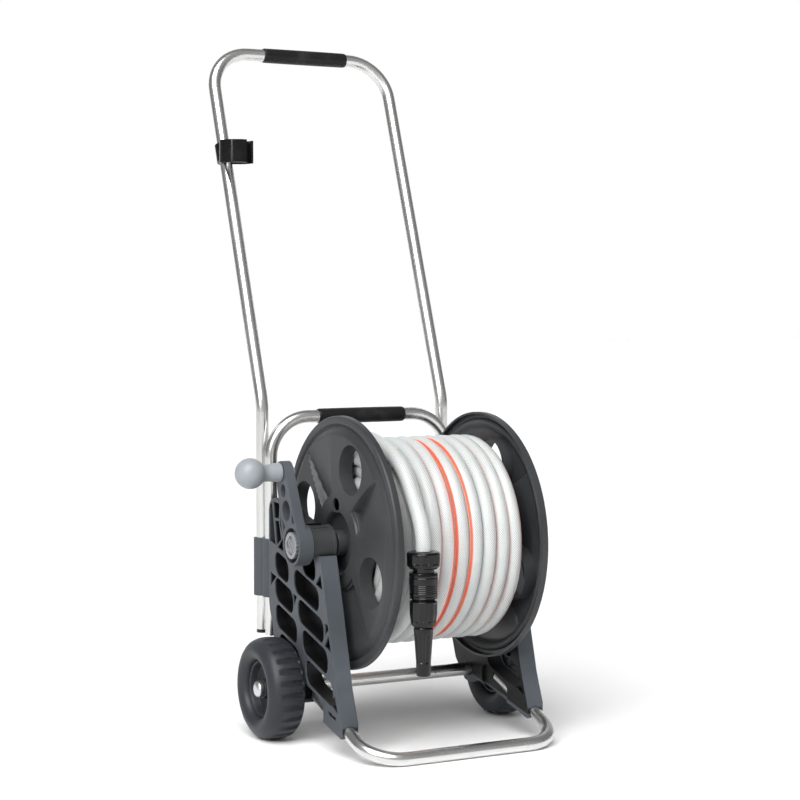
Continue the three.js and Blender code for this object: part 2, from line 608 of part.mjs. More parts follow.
const connectorNut = () =>
  hung([[GAP, 4.5], [GAP, 16.2], [1.6, 17.7], [15.6, 17.7], [17, 16.2], [17, 4.5]], 20);
const connectorBody = () =>
  hung([[17.3, 5], [17.3, 15], [18.2, 15], [18.2, 11.4], [47, 11.4], [47, 14.8], [49.5, 14.8], [49.5, 5]]);
const connectorSleeve = () =>
  hung([[22.4, 11.8], [22.4, 15.2], [34, 15.5], [46.7, 14.8], [46.7, 11.8]], 20);
const nozzleBody = () =>
  hung([[49.8, 5], [49.8, 12], [51.5, 12.4], [52.5, 14.8], [66, 14.8], [79, 12.8], [79, 5.8], [102, 5.8],
    [102, 4], [81, 4]]);
const nozzleTip = () =>
  hung([[80, 6.2], [80, 10.2], [85, 10.4], [118, 7.8], [124, 8], [131, 7.5], [132, 6.8], [132, 4], [105, 4],
    [105, 6.2]]);

// ---------- build ----------
placePair('side_frame', sideFrame(), framePlastic);
place('bearing_block_left', bearingBlock(BLOCK_OUT), reelPlastic, true);
place('bearing_block_right', bearingBlock(FRAME_OUT), reelPlastic);
placePair('guide_collar', guideCollar(), framePlastic);
place('rear_hoop', rearHoop(), aluminium);
place('hoop_grip', grip(0, HOOP_Y, HOOP_TOP), gripRubber);
place('push_handle', pushHandle(), aluminium);
place('push_grip', grip(PUSH_GRIP_SHIFT, HANDLE_TOP_Y, HANDLE_TOP), gripRubber);
place('nozzle_clip', nozzleClip(), blackGloss);
placePair('leg_plug', legPlug(), blackGloss);
place('foot_tube', footTube(), aluminium);
place('axle_tube', axleTube(), aluminium);
placePair('wheel_washer', wheelWasher(), steel);
placePair('wheel_tyre', wheelTyre(), tyrePlastic);
placePair('wheel_disc', wheelDisc(), tyrePlastic);
placePair('axle_cap', axleCap(), steel);
placePair('reel_flange', reelFlange(), reelPlastic);
place('reel_drum', reelDrum(), reelPlastic);
place('hose_tail', hoseTail(), blackGloss);
place('crank_arm', crankArm(), framePlastic);
place('crank_cap', crankCap(), capPlastic);
place('crank_knob', crankKnob(), knobPlastic);
place('knob_pin', knobPin(), steel);
place('inlet_elbow', inletElbow(), blackGloss);
place('inlet_seal', inletSeal(), sealRubber);
const cordPieces = [
  place('hose_coil', hoseCoil(), hoseVinyl),
  place('hose_end', sweep(freeRoute, HOSE_R, 0, 10), hoseVinyl),
  place('connector_nut', connectorNut(), blackGloss),
  place('connector_body', connectorBody(), blackGloss),
  place('connector_sleeve', connectorSleeve(), blackGloss),
  place('nozzle_body', nozzleBody(), blackGloss),
  place('nozzle_tip', nozzleTip(), blackGloss),
];

// The origin is under the middle of the cart, on the ground, the hose left out.
cart.updateMatrixWorld(true);
const extent = new THREE.Box3();
const solidPieces = rig.children.filter((mesh) => !cordPieces.includes(mesh));
solidPieces.forEach((mesh) => extent.expandByObject(mesh, true));
const middle = extent.getCenter(new THREE.Vector3());
rig.position.x = -middle.x;
rig.position.y = -middle.y;
rig.position.z -= extent.min.z;
cart.updateMatrixWorld(true);

export default cart;
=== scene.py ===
# %% [markdown]
# # A garden hose reel cart
# The cart is a pair of moulded side frames joined by bent aluminium tubes, with a crank-turned
# reel between them. The solids come from the CAD pack, in metres, and this script gives them
# their finish. Where a solid is coarse, such as the hose, the tubes or the tyres, it is replaced
# by a finer surface worked out with numpy in the same place.

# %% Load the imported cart
import json
import math

import bpy
import bmesh
import numpy as np
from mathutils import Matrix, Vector


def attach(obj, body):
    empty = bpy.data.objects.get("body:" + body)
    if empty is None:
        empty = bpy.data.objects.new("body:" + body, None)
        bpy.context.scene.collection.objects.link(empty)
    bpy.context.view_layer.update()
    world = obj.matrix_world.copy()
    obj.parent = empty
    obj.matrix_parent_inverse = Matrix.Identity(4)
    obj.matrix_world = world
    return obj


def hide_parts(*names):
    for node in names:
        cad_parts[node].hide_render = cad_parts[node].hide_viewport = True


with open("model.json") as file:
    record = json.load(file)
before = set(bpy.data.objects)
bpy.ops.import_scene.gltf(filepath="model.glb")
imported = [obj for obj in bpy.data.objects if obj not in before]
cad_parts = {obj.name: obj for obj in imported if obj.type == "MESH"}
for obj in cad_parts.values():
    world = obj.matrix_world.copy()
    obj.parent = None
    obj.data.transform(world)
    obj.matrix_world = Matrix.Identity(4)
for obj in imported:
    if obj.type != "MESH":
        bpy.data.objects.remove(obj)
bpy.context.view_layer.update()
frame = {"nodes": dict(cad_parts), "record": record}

# %% [markdown]
# Distances below are easiest to read from the reel's axle, so one point, AXLE, is added to each.
# X runs along the axle with the crank on the minus side, Y to the rear, Z up.

# %% The reel's axle and a few shared numbers
AXLE = np.array([0.016, -0.087, 0.2235])
MM = 0.001
TURN = 2 * math.pi


def at_axle(x, y, z):
    """A point given in millimetres from the reel's axle, in metres in the row frame."""
    return AXLE + np.array([x, y, z]) * MM


# %% [markdown]
# The camera stands low, in front of the cart and to its left, with a long lens, so the tubes
# stay nearly parallel.

# %% Camera
CAMERA_MM = (-1035.03, -1939.47, 261.89)
PITCH_DEG, YAW_DEG, LENS_MM = 2.77, 27.71, 88.35
camera_data = bpy.data.cameras.new("camera")
camera = bpy.data.objects.new("camera", camera_data)
bpy.context.scene.collection.objects.link(camera)
camera_data.sensor_width = 36
camera_data.lens = LENS_MM
camera_data.clip_end = 50
camera.location = at_axle(*CAMERA_MM)
camera.rotation_euler = (math.radians(90 - PITCH_DEG), 0, math.radians(-YAW_DEG))
bpy.context.scene.camera = camera
print("camera at", tuple(round(c, 3) for c in camera.location))

# %% [markdown]
# ## Surfaces from numpy
# Every new piece is one or more grids of points. A grid becomes quads; it can be joined to
# itself along its rows, its columns or both, and where a row shrinks to a point the doubles are
# merged so the pole is closed.

# %% Turning grids into a mesh
def quads_of(rows, cols, wrap_rows, wrap_cols):
    """Quad corners of a rows by cols grid, and the (column, row) step of each corner."""
    i, j = np.meshgrid(np.arange(rows - (not wrap_rows)), np.arange(cols - (not wrap_cols)),
                       indexing="ij")
    i, j = i.ravel(), j.ravel()
    steps = np.stack([np.stack([j, i], 1), np.stack([j + 1, i], 1), np.stack([j + 1, i + 1], 1),
                      np.stack([j, i + 1], 1)], 1)
    faces = (steps[..., 1] % rows) * cols + steps[..., 0] % cols
    return faces, steps


def surface(name, grids, body, slot, replaced=(), keep=None, smooth_deg=35):
    """Makes one piece from grids. A grid is (points, wrap rows, wrap columns, uv of rows or None).
    The map's first coordinate is column / columns, its second the row's own value or row / rows."""
    points, faces, uvs, start = [], [], [], 0
    for grid, wrap_rows, wrap_cols, rows_v in grids:
        rows, cols = grid.shape[:2]
        quads, steps = quads_of(rows, cols, wrap_rows, wrap_cols)
        if keep is not None:
            chosen = keep(grid.reshape(-1, 3)[quads])
            quads, steps = quads[chosen], steps[chosen]
        v = np.arange(rows + 1) / rows if rows_v is None else np.append(rows_v, rows_v[-1])
        uvs.append(np.stack([steps[..., 0] / cols, v[steps[..., 1]]], -1).reshape(-1, 2))
        points.append(grid.reshape(-1, 3))
        faces.append(quads + start)
        start += rows * cols
    mesh = bpy.data.meshes.new(name)
    mesh.from_pydata(np.concatenate(points).tolist(), [], np.concatenate(faces).tolist())
    layer = mesh.uv_layers.new(name="UVMap")
    layer.data.foreach_set("uv", np.concatenate(uvs).astype(np.float32).ravel())
    return finish_piece(name, mesh, body, slot, replaced, smooth_deg)


def finish_piece(name, mesh, body, slot, replaced, smooth_deg, outward=True):
    """Merges doubles, turns the faces outwards, shades them smooth below smooth_deg, and rides."""
    work = bmesh.new()
    work.from_mesh(mesh)
    bmesh.ops.remove_doubles(work, verts=work.verts, dist=2e-6)
    bmesh.ops.dissolve_degenerate(work, edges=work.edges, dist=1e-7)
    if outward:
        bmesh.ops.recalc_face_normals(work, faces=work.faces)
    for face in work.faces:
        face.smooth = True
    limit = math.radians(smooth_deg)
    for edge in work.edges:
        edge.smooth = len(edge.link_faces) == 2 and edge.calc_face_angle(0) < limit
    work.to_mesh(mesh)
    work.free()
    piece = bpy.data.objects.new(name, mesh)
    bpy.context.scene.collection.objects.link(piece)
    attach(piece, body)
    if replaced:
        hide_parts(*replaced)
    pieces[name] = (piece, slot)
    return piece


pieces = {}


# %% [markdown]
# Moulded and turned parts have no perfectly sharp corner. A profile is written as a few corner
# points, and each corner is then rounded by a short curve, so its edge catches the light.

# %% Profiles, turned pieces and swept tubes
def rounded(corners, radius, steps=4, closed=False):
    """Corner P becomes (1-t)^2 A + 2t(1-t) P + t^2 B, with A and B at most radius from P."""
    corners = np.asarray(corners, float)
    count = len(corners)
    radii = np.broadcast_to(np.asarray(radius, float), count)
    out = []
    for k in range(count):
        if not closed and k in (0, count - 1):
            out.append(corners[k][None])
            continue
        before, here, after = corners[k - 1], corners[k], corners[(k + 1) % count]
        reach_a, reach_b = np.linalg.norm(before - here), np.linalg.norm(after - here)
        a = here + (before - here) / reach_a * min(radii[k], 0.45 * reach_a)
        b = here + (after - here) / reach_b * min(radii[k], 0.45 * reach_b)
        t = np.linspace(0, 1, steps + 1)[:, None]
        out.append((1 - t) ** 2 * a + 2 * t * (1 - t) * here + t ** 2 * b)
    return np.concatenate(out)


def turned(profile, centre, along="x", sides=96, wobble=None):
    """Turns (distance along, radius) points about an axis through centre.
    The point is centre + a along the axis + r (cos t, sin t) across it; wobble(a, t) is added to r."""
    profile = np.asarray(profile, float)
    a, r = profile[:, :1] * MM, profile[:, 1:] * MM
    t = np.arange(sides)[None] / sides * TURN
    if wobble is not None:
        r = np.maximum(r + wobble(profile[:, :1], t) * MM * (r > 0), 0)
    a = np.broadcast_to(a, (len(profile), sides))
    across = (r * np.cos(t), r * np.sin(t))
    order = {"x": (a, *across), "z": (*across, a)}[along]
    return np.stack(order, -1) + centre


def tube_frames(path, side):
    """Unit tangent, normal and binormal of a path whose bends all turn about side or near it."""
    tangent = np.gradient(path, axis=0)
    tangent /= np.linalg.norm(tangent, axis=1, keepdims=True)
    normal = np.cross(side, tangent)
    normal /= np.linalg.norm(normal, axis=1, keepdims=True)
    return tangent, normal, np.cross(tangent, normal)


def length_along(path):
    """Running sum of the distances between neighbouring points, from 0."""
    return np.append(0, np.cumsum(np.linalg.norm(np.diff(path, axis=0), axis=1)))


def ring_grid(path, normal, binormal, radius, sides):
    """Rings of a tube: path + r (cos t normal + sin t binormal)."""
    t = np.arange(sides) / sides * TURN
    radius = np.broadcast_to(radius, len(path))[:, None, None]
    ring = np.cos(t)[None, :, None] * normal[:, None] + np.sin(t)[None, :, None] * binormal[:, None]
    return path[:, None] + radius * ring


# %% [markdown]
# ## Hose
# Half-inch garden hose is a soft vinyl tube about 16.5 mm across with a braid under a clear
# skin and one coloured stripe. About 19 m of it is wound on the drum in four layers, a little over
# 35 turns in all. The last turn lies on the outer layer, comes over the front and hangs down to
# its connector. One path gives all of it: the angle round the axle runs down steadily while the
# radius and the place along the drum change with the layer.

# %% The hose's route
HOSE_R = 8.25
FREE_R, FREE_X, COIL_EDGE = 125.0, -60.0, 69.0
LAYER_R = [106.75, 92.4, 78.2, 63.9]
LEAVE_DEG, CLIMB_TURNS, REST_TURNS, TRAVERSE_TURNS = 36.0, 0.5125, 0.25, 8.0
FREE_KNOTS = [(0, FREE_R, FREE_X), (0.12, 115, FREE_X), (0.3, LAYER_R[0], -58.3)]
OUTER_END, OUTER_REST = 7.83, 0.28
STRAIGHT, BEND_R = 38.0, 66.0
RINGS_PER_TURN = 56


def winding_table():
    """Knots of (turns before the hose leaves, radius, place along the drum), outside in."""
    turn, side = OUTER_END + OUTER_REST, 1
    knots = [*FREE_KNOTS, (OUTER_END, LAYER_R[0], COIL_EDGE), (turn, LAYER_R[0], COIL_EDGE)]
    for radius in LAYER_R[1:]:
        turn += CLIMB_TURNS
        knots.append((turn, radius, side * COIL_EDGE))
        turn += REST_TURNS
        knots.append((turn, radius, side * COIL_EDGE))
        turn += TRAVERSE_TURNS
        side = -side
        knots.append((turn, radius, side * COIL_EDGE))
        turn += REST_TURNS
        knots.append((turn, radius, side * COIL_EDGE))
    return np.array(knots)


def wound_part():
    """Point at t turns before leaving: angle 36 deg + 360 t, radius and x between the knots."""
    knots = winding_table()
    total = knots[-1, 0]
    turns = np.linspace(total, 0, int(total * RINGS_PER_TURN))
    angle = np.radians(LEAVE_DEG) + TURN * turns
    k = np.clip(np.searchsorted(knots[:, 0], turns, side="right") - 1, 0, len(knots) - 2)
    share = (turns - knots[k, 0]) / (knots[k + 1, 0] - knots[k, 0])
    eased = share * share * (3 - 2 * share)
    radius = knots[k, 1] + (knots[k + 1, 1] - knots[k, 1]) * eased
    climbing = knots[k, 1] != knots[k + 1, 1]
    x = knots[k, 2] + (knots[k + 1, 2] - knots[k, 2]) * np.where(climbing, eased, share)
    return np.stack([x, -radius * np.cos(angle), radius * np.sin(angle)], 1), turns


def hanging_part():
    """A straight run along the tangent, then an arc about X until the hose points down."""
    leave = math.radians(LEAVE_DEG)
    start = np.array([FREE_X, -FREE_R * math.cos(leave), FREE_R * math.sin(leave)])
    along = np.array([0, -math.sin(leave), -math.cos(leave)])
    straight = start + along * np.linspace(0, STRAIGHT, 9)[1:, None]
    towards_reel = np.array([0, math.cos(leave), -math.sin(leave)])
    arc = np.linspace(0, leave, 12)[1:, None]
    bend = straight[-1] + BEND_R * (np.sin(arc) * along + (1 - np.cos(arc)) * towards_reel)
    return np.concatenate([straight, bend])


wound, wound_turns = wound_part()
hose_path = np.concatenate([wound, hanging_part()]) * MM + AXLE
hose_length = length_along(hose_path)
HOSE_END = hose_path[-1]
print("hose", round(hose_length[-1], 2), "m in", len(hose_path), "rings, ends at", HOSE_END)
print("turns on the drum", round(float(wound_turns[0]), 2))

# %% [markdown]
# The stripe is set by turning the map's first coordinate slowly along the hose, so that it shows
# on some turns and hides on others. The hose rides on the frame, because its end hangs at the
# front: when the reel turns, the hose stays still.

# %% The hose's surface
FRONT_TURNS = np.arange(10) + 0.9
FRONT_DEG = [200, 296, 328, 422, 415, 656, 656, 668, 540, 540]
STRIPE_TURN = (FRONT_TURNS[:, None] + (-0.3, 0.3)).ravel()
STRIPE_DEG = np.repeat(FRONT_DEG, 2)


def hose_surface():
    """Rings of 16 points along the path, with the ring's first point facing away from the axle."""
    tangent, normal, binormal = tube_frames(hose_path, np.array([-1.0, 0, 0]))
    outward = normal if (normal[0] @ (hose_path[0] - AXLE) > 0) else -normal
    grid = ring_grid(hose_path, outward, np.cross(tangent, outward), HOSE_R * MM, 16)
    ends = [np.repeat(hose_path[k][None, None], 16, axis=1) for k in (0, -1)]
    grid = np.concatenate([ends[0], grid, ends[1]])
    rows_v = np.concatenate([[0], hose_length, hose_length[-1:]])
    return surface("hose", [(grid, False, True, rows_v)], "frame", "hose_vinyl",
                   ("hose_coil", "hose_end"), smooth_deg=60)


hose = hose_surface()
turn_of_ring = np.concatenate([wound_turns, np.zeros(len(hose_path) - len(wound_turns))])


def twist_stripe(piece):
    """Takes stripe angle / 360 from the map's first coordinate, read from how far along it is."""
    layer = piece.data.uv_layers[0]
    uv = np.zeros(len(layer.data) * 2, np.float32)
    layer.data.foreach_get("uv", uv)
    uv = uv.reshape(-1, 2)
    along = np.interp(uv[:, 1], hose_length, turn_of_ring)
    uv[:, 0] -= np.interp(along, STRIPE_TURN, STRIPE_DEG) / 360
    layer.data.foreach_set("uv", uv.ravel())


twist_stripe(hose)
print("hose surface of", len(hose.data.polygons), "faces")

# %% [markdown]
# ## Connector and nozzle
# The quick connector is a nut that grips the hose, a body, and a sleeve that is pulled back to
# let go. The nozzle twists to change its spray. Each is turned from a profile, with finger grooves
# as a small wave added to the radius.

# %% Connector and nozzle
def hung(profile, radius=0.6, steps=4):
    """A profile whose first number is the drop below the hose's end, rounded at its corners."""
    profile = rounded(profile, radius, steps, closed=True)
    profile[:, 0] *= -1
    return profile


def band(a, low, high, soft=1.0):
    """1 between low and high, fading to 0 over soft at both ends."""
    return np.clip((a - low) / soft, 0, 1) * np.clip((high - a) / soft, 0, 1)


def ribs(count, depth, low, high):
    """Grooves round a turned piece: minus depth times a flattened cosine, inside a band."""
    return lambda a, t: -depth * np.clip(0.5 + 1.4 * np.cos(count * t), 0, 1) * band(-a, low, high)


def rings(places, depth, width):
    """Grooves that run round the piece at each place, width wide."""
    return lambda a, t: -depth * sum(np.exp(-(((-a - p) / width) ** 2)) for p in places) + 0 * t


def dense_profile(profile, spacing=0.5):
    """Points every spacing millimetres along a closed profile."""
    loop = np.concatenate([profile, profile[:1]])
    along = length_along(loop)
    marks = np.linspace(0, along[-1], max(int(along[-1] / spacing), 8), endpoint=False)
    return np.stack([np.interp(marks, along, loop[:, k]) for k in (0, 1)], 1)


def hung_piece(name, profile, body, replaced, wobble, radius=0.6):
    """A turned piece below the hose's end; wobble only reaches the outer half of its wall."""
    profile = dense_profile(hung(profile, radius))
    outside = profile[:, 1:] > (profile[:, 1].max() + profile[:, 1].min()) / 2
    grid = turned(profile, HOSE_END, "z", 96, lambda a, t: wobble(a, t) * outside)
    return surface(name, [(grid, True, True, None)], body, "black_gloss", (replaced,))


hung_piece("connector_nut_skin", [[0.3, 8.6], [0.3, 15.8], [2, 17.7], [14.8, 17.7], [17, 16.2], [17, 8.6]],
           "frame", "connector_nut", ribs(10, 1.1, 3.5, 13.5), 0.9)
hung_piece("connector_body_skin", [[17.3, 6], [17.3, 15], [18.2, 15], [18.2, 11.4], [47, 11.4], [47, 14.8],
           [49.5, 14.8], [49.5, 6]], "frame", "connector_body", rings([48.2], 0.5, 0.4), 0.3)
hung_piece("connector_sleeve_skin", [[22.4, 11.8], [22.4, 15], [25, 15.4], [34, 15.4], [46.7, 14.8],
           [46.7, 11.8]], "release_sleeve", "connector_sleeve",
           rings([27, 35, 37, 39, 41, 43], 0.55, 0.45), 0.5)
hung_piece("nozzle_body_skin", [[49.8, 5.2], [49.8, 12], [51.5, 12.4], [52.5, 14.8], [66, 14.8], [77, 13.2],
           [79, 12], [79, 5.8], [102, 5.8], [102, 4.1], [81, 4.1]], "frame", "nozzle_body",
           ribs(12, 0.7, 54, 74))
hung_piece("nozzle_tip_skin", [[80, 6.2], [80, 9.9], [82, 10.4], [118, 7.8], [124, 8], [131, 7.5], [132, 6.8],
           [132, 4], [105, 4], [105, 6.2]], "spray_tip", "nozzle_tip", ribs(8, 0.8, 86, 118))
[pieces[n][0] for n in pieces if n != "hose"]
print("hose fittings", [n for n in pieces if n != "hose"])

# %% [markdown]
# ## Bent tubes
# The hoop, the push handle and the foot are each one length of 15 mm aluminium tube, bent in a
# former. The skin goes down the outside, round the cut end and back up the bore, so it is closed.

# %% Tubes and grips
TUBE_R, TUBE_BORE_R = 7.5, 6.2


def bent(corners, radii, step_mm=12, bend_steps=14):
    """A route of straight runs joined by arcs that touch both runs."""
    corners = np.asarray(corners, float)
    route = [corners[0][None]]
    for k, radius in enumerate(radii, start=1):
        before = (corners[k] - corners[k - 1]) / np.linalg.norm(corners[k] - corners[k - 1])
        after = (corners[k + 1] - corners[k]) / np.linalg.norm(corners[k + 1] - corners[k])
        angle = math.acos(np.clip(before @ after, -1, 1))
        inward = after - before * math.cos(angle)
        inward /= np.linalg.norm(inward)
        start = corners[k] - before * radius * math.tan(angle / 2)
        t = np.linspace(0, angle, bend_steps)[:, None]
        arc = start + radius * (np.sin(t) * before + (1 - np.cos(t)) * inward)
        run = np.linalg.norm(start - route[-1][-1])
        share = np.linspace(0, 1, max(int(run / step_mm), 2))[1:-1, None]
        route.append(route[-1][-1] + (start - route[-1][-1]) * share)
        route.append(arc)
    run = np.linalg.norm(corners[-1] - route[-1][-1])
    share = np.linspace(0, 1, max(int(run / step_mm), 3))[1:, None]
    route.append(route[-1][-1] + (corners[-1] - route[-1][-1]) * share)
    return np.concatenate(route) * MM + AXLE


def carried_frames(path):
    """Tangents, and normals carried along: each is the last one with its part along the tangent removed."""
    tangent = np.gradient(path, axis=0)
    tangent /= np.linalg.norm(tangent, axis=1, keepdims=True)
    normal = np.zeros_like(path)
    last = np.cross(tangent[0], [0.3, 0.5, 0.81])
    for k, along in enumerate(tangent):
        last = last - along * (last @ along)
        last /= np.linalg.norm(last)
        normal[k] = last
    return tangent, normal


def tube_piece(name, corners, radii, body, replaced):
    """Rings of the outer radius along the route, then rings of the bore's radius back along it."""
    path = bent(corners, radii)
    tangent, normal = carried_frames(path)
    side = np.cross(tangent, normal)
    skin = ring_grid(path, normal, side, TUBE_R * MM, 40)
    bore = ring_grid(path[::-1], normal[::-1], side[::-1], TUBE_BORE_R * MM, 40)
    along = length_along(path)
    grid = np.concatenate([skin, bore])
    rows_v = np.concatenate([along, along[::-1]])
    print(name, round(along[-1], 3), "m of tube")
    return surface(name, [(grid, True, True, rows_v)], body, "tube_aluminium", (replaced,), smooth_deg=50)


HOOP_X, HOOP_Y, HOOP_TOP, HOOP_END = 115.5, 131.5, 132.4, -120
HANDLE_X, HANDLE_Y, HANDLE_END, HANDLE_KINK = 118.6, 149, -115, 147
HANDLE_TOP_Y, HANDLE_TOP = 305, 570
FOOT_X, FOOT_Y, FOOT_END_Y, FOOT_Z, FOOT_SLOPE_DEG = 116, -129, 5, -216, 20
AXLE_Y, AXLE_Z, AXLE_HALF = 59, -166.5, 164
HOOP = [[-HOOP_X, HOOP_Y, HOOP_END], [-HOOP_X, HOOP_Y, HOOP_TOP], [HOOP_X, HOOP_Y, HOOP_TOP],
        [HOOP_X, HOOP_Y, HOOP_END]]
HANDLE = [[-HANDLE_X, HANDLE_Y, HANDLE_END], [-HANDLE_X, HANDLE_Y, HANDLE_KINK],
          [-HANDLE_X, HANDLE_TOP_Y, HANDLE_TOP], [HANDLE_X, HANDLE_TOP_Y, HANDLE_TOP],
          [HANDLE_X, HANDLE_Y, HANDLE_KINK], [HANDLE_X, HANDLE_Y, HANDLE_END]]
FOOT_RISE = math.tan(math.radians(FOOT_SLOPE_DEG)) * (FOOT_END_Y - FOOT_Y)
FOOT = [[-FOOT_X, FOOT_END_Y, FOOT_Z + FOOT_RISE], [-FOOT_X, FOOT_Y, FOOT_Z], [FOOT_X, FOOT_Y, FOOT_Z],
        [FOOT_X, FOOT_END_Y, FOOT_Z + FOOT_RISE]]
AXLE_TUBE = [[-AXLE_HALF, TUBE_BORE_R], [-AXLE_HALF, TUBE_R], [AXLE_HALF, TUBE_R], [AXLE_HALF, TUBE_BORE_R]]
tube_piece("rear_hoop_tube", HOOP, [47, 47], "frame", "rear_hoop")
tube_piece("push_handle_tube", HANDLE, [60, 50, 50, 60], "handle", "push_handle")
tube_piece("foot_bar", FOOT, [40, 40], "frame", "foot_tube")
surface("axle", [(turned(rounded(AXLE_TUBE, 0.4, closed=True), at_axle(0, AXLE_Y, AXLE_Z), "x", 48),
                  True, True, None)], "frame", "tube_aluminium", ("axle_tube",))

GRIP_HALF, GRIP_R, GRIP_CROWN, GRIP_END_R, GRIP_BORE_R = 56, 8.75, 0.25, 8.2, 7.8


def grip_piece(name, middle, y, z, body, replaced):
    """A sleeve with rolled ends, whose radius grows by the square root of a cosine to its middle."""
    a = np.linspace(-GRIP_HALF, GRIP_HALF, GRIP_HALF + 1)
    crown = GRIP_R + GRIP_CROWN * np.cos(a / GRIP_HALF * math.pi / 2) ** 0.5
    crown[[0, -1]] = GRIP_END_R
    outside = np.stack([a + middle, crown], 1)
    bore = np.stack([a[::-1] + middle, np.full(len(a), GRIP_BORE_R)], 1)
    grid = turned(np.concatenate([outside, bore]), at_axle(0, y, z), "x", 64)
    return surface(name, [(grid, True, True, None)], body, "grip_rubber", (replaced,))


grip_piece("hoop_grip_sleeve", 0, HOOP_Y, HOOP_TOP, "frame", "hoop_grip")
grip_piece("push_grip_sleeve", 8, HANDLE_TOP_Y, HANDLE_TOP, "handle", "push_grip")
print("tubes, axle and two grips")

# %% [markdown]
# ## Wheels
# The wheels are moulded plastic: a fat tyre with 26 cross grooves that fade out over its tread,
# and a dished disc. The grooves are a real dent in the surface.

# %% Tyres, discs and caps
GROOVES, GROOVE_DEPTH = 26, 3.4
GROOVE_FROM, GROOVE_TO = 130.6, 160
TYRE = [[128.5, 42], [129, 50], [133.5, 55.2], [142.5, 57], [156, 57], [165, 54], [170, 47], [171, 41],
        [168, 34.5], [163, 31.5], [135.5, 31.5], [130.5, 36]]


def tread(a, t):
    """Minus the groove depth times a flattened cosine round the wheel times a band across the tread."""
    wave = np.clip(0.5 + 1.5 * (np.cos(GROOVES * t) - 0.2), 0, 1)
    across = np.abs(a)
    ends = np.clip((across - GROOVE_FROM) / 2.2, 0, 1) * np.clip((GROOVE_TO - across) / 16.0, 0, 1) ** 0.6
    return -GROOVE_DEPTH * wave * ends


def tyre_grid(side):
    """The tyre's rounded profile turned about the axle, with the tread dented outside radius 46."""
    profile = dense_profile(rounded(TYRE, 6, 6, closed=True), 1.4)
    outside = profile[:, 1] > 46
    profile[:, 0] *= side

    def dent(a, t):
        return tread(a, t) * outside[:, None]
    return turned(profile, at_axle(0, AXLE_Y, AXLE_Z), "x", GROOVES * 14, dent)


DISC = [[130.2, 8], [130.2, 11.5], [146, 12.5], [146, 28], [136, 28], [136, 31.2], [162, 31.2], [161, 29.2],
        [152.6, 27.6], [152, 24], [151, 13.5], [152, 11.5], [159.4, 10.6], [160, 9.8], [160, 8]]
CAP = [[168.2, 0], [167.9, 5.4], [166.6, 8], [165, 9.3], [160.4, 9.3], [160.4, 7.8], [164.3, 7.8], [164.3, 0]]


def mirrored(profile, side):
    """The profile with its distance along the axle times side, which is -1 on the crank side."""
    profile = np.array(profile, float)
    profile[:, 0] *= side
    return profile


for side, word in ((-1, "left"), (1, "right")):
    centre = at_axle(0, AXLE_Y, AXLE_Z)
    surface(f"tyre_{word}", [(tyre_grid(side), True, True, None)], f"wheel_{word}", "wheel_plastic",
            (f"wheel_tyre_{word}",), smooth_deg=60)
    disc = mirrored(rounded(DISC, 0.9, 3, closed=True), side)
    surface(f"disc_{word}", [(turned(disc, centre, "x", 96), True, True, None)], f"wheel_{word}",
            "wheel_plastic", (f"wheel_disc_{word}",))
    cap = mirrored(rounded(CAP, 0.8, 3), side)
    surface(f"push_cap_{word}", [(turned(cap, centre, "x", 64), False, True, None)], "frame", "steel",
            (f"axle_cap_{word}",))
print("wheels with", GROOVES, "grooves")

# %% [markdown]
# ## Reel flanges
# A flange is a thin moulded skin: a rim, a flat ring with four round windows, a hub well, and a
# fan-shaped valley between each pair of windows. The skin is a height above a polar grid.
# Grid points that fall inside a window are pushed out to its edge and the faces between them are
# dropped, which leaves a clean round hole; Solidify then gives the wall.

# %% The flange's skin
WINDOW_R, WINDOW_PCD, WINDOW_DEG = 27.5, 89.5, 22.5
WINDOWS = [(WINDOW_PCD * math.cos(math.radians(WINDOW_DEG + turn)),
            WINDOW_PCD * math.sin(math.radians(WINDOW_DEG + turn))) for turn in (0, 90, 180, 270)]
HOLES = [*((y, z, WINDOW_R) for y, z in WINDOWS), (1, 41.5, 8)]
VALLEY = {"inner": 51, "outer": 124, "wall_in": 21.5, "wall_out": 29, "crest_in": 56, "crest_out": 60,
          "depth": 12, "end_depth": 1.5}
FACE = 95.5
SKIN_PROFILE = [[FACE - 8, 14], [FACE - 8, 31.5], [FACE, 34], [FACE, 121], [FACE - 5.7, 129],
                [FACE - 5.7, 130.4], [FACE - 3, 131.4], [FACE - 3, 139], [FACE - 4, 140], [FACE - 11, 140]]
SKIN_COLUMNS, SKIN_ROWS, SKIN_WALL = 440, 104, 2.4


def smooth(x, low, high):
    """0 below low, 1 above high, and 3t^2 - 2t^3 between them."""
    t = np.clip((x - low) / (high - low), 0, 1)
    return t * t * (3 - 2 * t)


def valley_depth(r, deg):
    """Depth falls along the radius from 12 to 1.5 mm, and across the valley from wall to crest."""
    v = VALLEY
    share = np.clip((r - v["inner"]) / (v["outer"] - v["inner"]), 0, 1)
    wall = v["wall_in"] + (v["wall_out"] - v["wall_in"]) * share
    crest = v["crest_in"] + (v["crest_out"] - v["crest_in"]) * share
    local = (deg - WINDOW_DEG) % 90
    degree_mm = r * math.pi / 180
    floor = v["depth"] + (v["end_depth"] - v["depth"]) * share
    slope = np.clip((crest - local) / (crest - wall), 0, 1)
    steep = smooth((local - wall) * degree_mm, -0.6, 1.4 + 2.2 * (1 - share))
    ends = smooth(r, v["inner"] - 0.6, v["inner"] + 1.4) * (1 - smooth(r, v["outer"] - 3, v["outer"] + 0.5))
    return floor * slope * steep * ends


